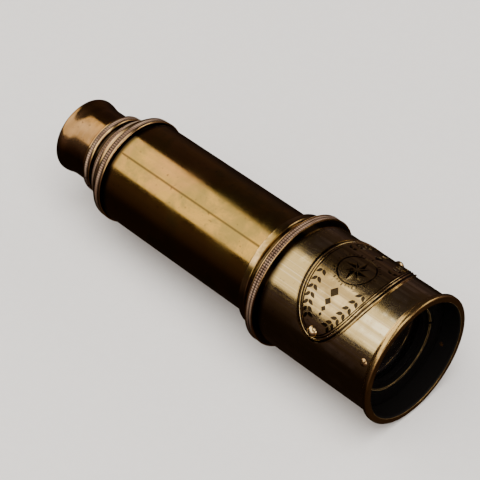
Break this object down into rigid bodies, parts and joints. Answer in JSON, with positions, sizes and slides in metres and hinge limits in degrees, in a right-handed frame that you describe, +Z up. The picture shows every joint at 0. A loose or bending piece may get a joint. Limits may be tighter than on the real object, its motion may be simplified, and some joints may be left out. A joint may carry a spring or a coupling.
{
  "type": "pocket telescope",
  "caption": "Brass pull-out spyglass: barrel, nested draw tubes with an eyecup, sliding sunshade with an oval plate, objective and erecting eyepiece inside.",
  "frame": {"origin": "on the surface the telescope lies on, under the middle of its closed length; the optical axis is 22.5 mm above it", "axes": "+X along the optical axis from the eye end to the objective end, +Z up through the middle of the oval plate"},
  "size_m": [0.148, 0.045, 0.045],
  "materials": {
    "barrel_brass": "aged, satin, brown in the shadows",
    "ring_brass": "knurled, dark patina with bright edges",
    "draw_brass": "smooth, lighter than the outside because it is kept inside",
    "eyecup_brass": "polished, warm",
    "shade_brass": "brushed lengthwise",
    "rim_brass": "polished edge",
    "plate_brass": "brushed, with darkened engraving",
    "fastener_brass": "polished",
    "blackened_brass": "matt black",
    "lens_glass": "clear, coated"
  },
  "bodies": {
    "barrel": {"barrel_tube": "barrel_brass", "barrel_rear_collar": "ring_brass", "barrel_front_collar": "barrel_brass", "objective_tube": "barrel_brass", "objective_baffle": "blackened_brass", "objective_cell": "blackened_brass", "flint_lens": "lens_glass", "lens_spacer": "blackened_brass", "crown_lens": "lens_glass", "objective_retaining_ring": "blackened_brass"},
    "sunshade": {"shade_tube": "shade_brass", "shade_rear_ring": "ring_brass", "shade_rim": "rim_brass", "rim_screws": "fastener_brass", "nameplate": "plate_brass", "plate_rivets": "fastener_brass"},
    "large_draw": {"large_draw_tube": "draw_brass", "large_draw_collar": "ring_brass", "large_draw_guide_ring": "draw_brass"},
    "middle_draw": {"middle_draw_tube": "draw_brass", "middle_draw_collar": "ring_brass", "middle_draw_guide_ring": "draw_brass"},
    "eye_draw": {"eye_draw_tube": "draw_brass", "eye_draw_guide_ring": "draw_brass", "eyecup": "eyecup_brass", "eyepiece_tube": "blackened_brass", "eye_lens": "lens_glass", "field_stop": "blackened_brass", "field_lens": "lens_glass", "eyepiece_retaining_ring": "blackened_brass", "erector_tube": "blackened_brass", "erector_rear_lens": "lens_glass", "erector_stop": "blackened_brass", "erector_front_lens": "lens_glass", "erector_retaining_ring": "blackened_brass"}
  },
  "joints": [
    {"name": "sunshade_slide", "type": "slide", "parent": "barrel", "child": "sunshade", "axis": [1, 0, 0], "range_m": [0, 0.028]},
    {"name": "large_draw_slide", "type": "slide", "parent": "barrel", "child": "large_draw", "axis": [-1, 0, 0], "range_m": [0, 0.07]},
    {"name": "middle_draw_slide", "type": "slide", "parent": "large_draw", "child": "middle_draw", "axis": [-1, 0, 0], "range_m": [0, 0.07]},
    {"name": "eye_draw_slide", "type": "slide", "parent": "middle_draw", "child": "eye_draw", "axis": [-1, 0, 0], "range_m": [0, 0.07]}
  ]
}
